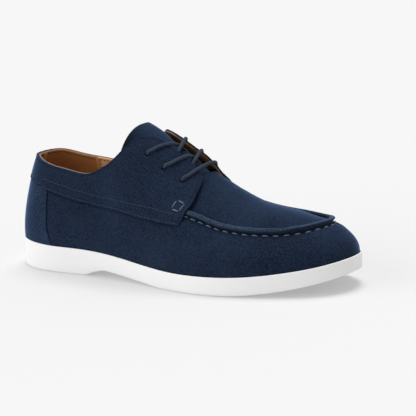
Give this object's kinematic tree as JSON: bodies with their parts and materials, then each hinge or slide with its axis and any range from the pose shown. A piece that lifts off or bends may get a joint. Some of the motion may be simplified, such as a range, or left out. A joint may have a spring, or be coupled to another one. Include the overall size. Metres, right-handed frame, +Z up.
{
  "type": "laced suede moccasin shoe",
  "caption": "Right shoe in dark blue suede with a raised apron seam, open lacing, a tan leather inside and a flat white cup sole.",
  "frame": {"origin": "on the floor under the middle of the heel, at the centre line of the heel's flat", "axes": "+X from the heel to the toe, +Y to the inner side of the foot, +Z up"},
  "size_m": [0.3017, 0.1056, 0.1198],
  "materials": {
    "suede": "napped suede",
    "tongue_suede": "napped suede",
    "sole": "matt moulded",
    "footbed": "smooth",
    "lace": "round waxed braid"
  },
  "bodies": {
    "root": {"outsole": "sole", "upper": "suede", "apron_seam": "suede", "tongue": "tongue_suede", "insole": "footbed", "lace_bar": "lace", "lace_cross_middle": "lace", "lace_cross_top": "lace"}
  },
  "joints": []
}
